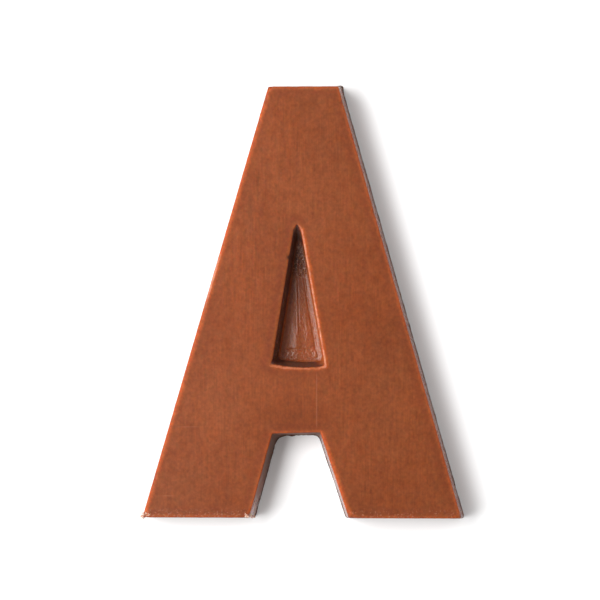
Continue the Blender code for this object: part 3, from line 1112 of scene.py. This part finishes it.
def add_edges(nodes, at, colour):
    """Painted light on the thin edges that face the light, and a painted highlight along the lit rim round
    the pocket.
    """
    reach = nodes.math("MULTIPLY_ADD", at.side, PAINTED_LIGHT_REACH_LIT, PAINTED_LIGHT_REACH)
    near_edge = nodes.falling(nodes.math("DIVIDE", at.edge, reach), 0.0, 1.0)
    uneven = nodes.between(nodes.noise(*PAINTED_LIGHT_PLACES), *PAINTED_LIGHT_RANGE)
    colour = nodes.mix(nodes.product(at.side, uneven, near_edge), colour, PAINTED_EDGE_LIGHT_COLOUR)
    # A painted highlight along the lit rim round the pocket, broken into pieces
    line = nodes.product(nodes.falling(at.edge, *PAINTED_RIM_HIGHLIGHT_WIDTH), nodes.rest(at.outside), at.side)
    highlight_gaps = nodes.between(nodes.noise(*HIGHLIGHT_GAPS), *HIGHLIGHT_GAP_RANGE)
    return nodes.mix(nodes.product(line, highlight_gaps), colour, PAINTED_RIM_HIGHLIGHT_COLOUR)


def add_shade(nodes, at, texture, colour):
    """Brightens and darkens the colour with the textures and the uneven places, among them painted light and
    shade.
    """
    wide, fine = nodes.centred(texture.wide_streaks), nodes.centred(texture.fine_streaks)
    streaks = nodes.total((wide, WIDE_STREAK_SHADE), (fine, FINE_STREAK_SHADE))
    change = nodes.total(
        (nodes.product(streaks, texture.streaked), 1.0),
        (nodes.centred(texture.blotches), BLOTCH_SHADE),
        (nodes.centred(texture.mottle), MOTTLE_SHADE),
        (nodes.centred(texture.grain), GRAIN_SHADE),
        (at.brighter, 1.0),
    )
    shown = nodes.rest(nodes.product(at.wall, WALL_CALM))
    shade = nodes.math("MULTIPLY_ADD", change, shown, 1.0)
    grey = nodes.add("ShaderNodeCombineColor", Red=shade, Green=shade, Blue=shade).outputs["Color"]
    return nodes.mix(1.0, colour, grey, "MULTIPLY")


def scratch(nodes, at, x0, y0, x1, y1, half_width):
    """One on a straight scratch along x or y, and zero away from it."""
    upright = x0 == x1
    across, along = (at.x, at.y) if upright else (at.y, at.x)
    middle, start, end = (x0, y0, y1) if upright else (y0, x0, x1)
    away = nodes.math("ABSOLUTE", nodes.math("SUBTRACT", across, middle))
    begins = nodes.between(along, start, start + SCRATCH_FADE)
    ends = nodes.falling(along, end - SCRATCH_FADE, end)
    return nodes.product(nodes.falling(away, 0.0, half_width), begins, ends)


def all_scratches(nodes, at):
    terms = [(scratch(nodes, at, *line), strength) for *line, strength in SCRATCHES]
    return nodes.product(nodes.total(*terms), at.face)


def worn_feet(nodes, at):
    """Worn speckles of the face along the foot of the letter."""
    speckle = nodes.between(nodes.noise(*WORN_SPECKLE), *WORN_RANGE)
    return nodes.product(speckle, nodes.falling(at.y, *WORN_FEET), at.face)


def face_pits(nodes, at):
    """Round shallow pits, in a share of the cells of a loose grid."""
    places = nodes.scaled(3 * (1 / PIT_SPACING,))
    cells = nodes.add("ShaderNodeTexVoronoi", Vector=places, Scale=1.0)
    chosen = nodes.add("ShaderNodeSeparateColor", Color=cells.outputs["Color"]).outputs["Red"]
    pit = nodes.falling(cells.outputs["Distance"], 0.0, PIT_RADIUS / PIT_SPACING)
    return nodes.product(pit, nodes.math("LESS_THAN", chosen, PIT_SHARE), at.face)


def letter_roughness(nodes, at, texture, shady):
    dull_rim = nodes.product(nodes.falling(at.edge, *DULL_RIM_WIDTH), at.side, at.outside)
    rougher = nodes.total(
        (at.face, FACE_ROUGHER),
        (at.back, BACK_ROUGHER),
        (at.wall, WALL_ROUGHER),
        (nodes.centred(texture.mottle), MOTTLE_ROUGHER),
        (dull_rim, RIM_ROUGHER),
        (shady, NOTCH_ROUGHER),
    )
    return nodes.math("ADD", rougher, GLOSSY)


def letter_relief(nodes, at, texture, scratches, worn):
    return nodes.total(
        (nodes.product(texture.fine_streaks, texture.streaked), FINE_STREAK_RELIEF),
        (nodes.product(texture.wide_streaks, texture.streaked), WIDE_STREAK_RELIEF),
        (texture.mottle, MOTTLE_RELIEF),
        (nodes.product(texture.grain, at.face), GRAIN_RELIEF),
        (face_pits(nodes, at), PIT_RELIEF),
        (nodes.product(nodes.noise(*DRAWN_WALL), at.wall), WALL_RELIEF),
        (nodes.product(nodes.noise(*WRINKLES), at.floor), WRINKLE_RELIEF),
        (nodes.product(texture.grain, at.floor), FLOOR_GRAIN_RELIEF),
        (nodes.product(nodes.noise(*SCRAPED_BACK), at.back), BACK_RELIEF),
        (scratches, SCRATCH_RELIEF),
        (worn, WORN_RELIEF),
    )


def chocolate_material(origin):
    """Satin on the moulded face, glossy on the walls and in the pocket, and dull on the poured back."""
    nodes = Nodes("milk_chocolate")
    at = read_letter(nodes, origin)
    texture = letter_textures(nodes, at)
    shady = notch_shade(nodes, at)
    scratches, worn = all_scratches(nodes, at), worn_feet(nodes, at)
    colour = face_colour(nodes, at, texture)
    colour = add_flecks(nodes, at, add_pocket(nodes, at, colour))
    colour = add_walls(nodes, at, shady, colour)
    colour = add_edges(nodes, at, colour)
    colour = add_shade(nodes, at, texture, colour)
    colour = nodes.mix(nodes.product(worn, WORN_SHARE), colour, BREAK_COLOUR)
    colour = nodes.mix(nodes.product(scratches, SCRATCHES_SHARE), colour, BREAK_COLOUR)
    nodes.put_all(
        nodes.shader,
        Base_Color=colour,
        Roughness=letter_roughness(nodes, at, texture, shady),
        IOR=REFRACTION,
        Subsurface_Weight=1.0,
        Subsurface_Radius=SCATTERING,
        Subsurface_Scale=SCATTERING_LENGTH * MM,
        Normal=nodes.bump(letter_relief(nodes, at, texture, scratches, worn)),
    )
    return nodes.material


def crumb_material():
    nodes = Nodes("chocolate_crumbs")
    speckle = nodes.between(nodes.noise(*CRUMB_SPECKLE), *CRUMB_RANGE)
    nodes.put_all(
        nodes.shader,
        Base_Color=nodes.mix(speckle, BREAK_COLOUR, CRUMB_COLOUR),
        Roughness=CRUMB_ROUGHNESS,
        Normal=nodes.bump(nodes.product(speckle, CRUMB_RELIEF)),
    )
    return nodes.material


def build_crumbs(origin):
    """Small flakes that cling to the broken corners, joined into one mesh."""
    draw = random.Random(CRUMB_SEED)
    work = bmesh.new()
    for x, y, z, scatter, count, size in CRUMB_SPOTS:
        for _ in range(count):
            spot = Vector((x - origin.x, y - origin.y, z))
            spot += Vector((draw.uniform(-scatter, scatter), draw.uniform(-scatter, scatter) / 2, 0.0))
            radius = size * draw.uniform(*CRUMB_SIZES)
            made = bmesh.ops.create_icosphere(work, subdivisions=2, radius=1.0)["verts"]
            flat = Vector([draw.uniform(*lengths) for lengths in CRUMB_LENGTHS])
            turn = Matrix.Rotation(draw.uniform(0.0, 2 * math.pi), 3, "Z")
            for vert in made:
                bumpy = 1.0 + CRUMB_BUMPS * noise.noise(vert.co * CRUMB_BUMP_GRAIN + spot)
                vert.co = (turn @ (vert.co * bumpy * flat) * radius + spot) * MM
    mesh = bpy.data.meshes.new("crumbs")
    work.to_mesh(mesh)
    work.free()
    mesh.shade_smooth()
    return add_object("crumbs", mesh)


def build_floor():
    bpy.ops.mesh.primitive_plane_add(size=FLOOR_SIZE)
    floor = bpy.context.object
    floor.name = "floor"
    nodes = Nodes("pale_floor")
    nodes.put_all(nodes.shader, Base_Color=(*FLOOR_COLOUR, 1.0), Roughness=FLOOR_ROUGHNESS)
    floor.data.materials.append(nodes.material)


def add_area_light(name, place, width, length, watts):
    """A soft light that looks at the letter."""
    light = bpy.data.lights.new(name, "AREA")
    light.shape = "RECTANGLE"
    light.size, light.size_y, light.energy = width, length, watts
    obj = add_object(name, light)
    obj.location = place
    obj.rotation_euler = (-Vector(place)).to_track_quat("-Z", "Y").to_euler()


def add_lights():
    for light in AREA_LIGHTS:
        add_area_light(*light)
    world = bpy.data.worlds.new("studio")
    world.use_nodes = True
    sky = world.node_tree.nodes["Background"]
    sky.inputs["Color"].default_value = (*SKY_COLOUR, 1.0)
    sky.inputs["Strength"].default_value = SKY_STRENGTH
    bpy.context.scene.world = world


def add_camera(origin):
    """The camera stands above and to the right, and looks at the middle of the picture on the face."""
    target = Vector((IMAGE_CENTRE[0] - origin.x, IMAGE_CENTRE[1] - origin.y, THICKNESS)) * MM
    place = target + Vector((CAMERA_SIDE, 0.0, CAMERA_DISTANCE)) * MM
    back = (place - target).normalized()
    right = Vector((0.0, 1.0, 0.0)).cross(back).normalized()
    up = back.cross(right)
    camera = bpy.data.cameras.new("camera")
    camera.sensor_width = SENSOR
    camera.lens = SENSOR * (place - target).length / MM / (PIXELS * MM_PER_PIXEL)
    obj = add_object("camera", camera)
    obj.matrix_world = Matrix.Translation(place) @ Matrix((right, up, back)).transposed().to_4x4()
    bpy.context.scene.camera = obj


def main():
    letter, origin = build_letter()
    letter.data.materials.append(chocolate_material(origin))
    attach(letter, "root")
    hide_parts(NODE)
    crumbs = build_crumbs(origin)
    crumbs.data.materials.append(crumb_material())
    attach(crumbs, "root")
    build_floor()
    add_lights()
    add_camera(origin)
    bpy.context.scene.view_settings.view_transform = "Standard"


main()
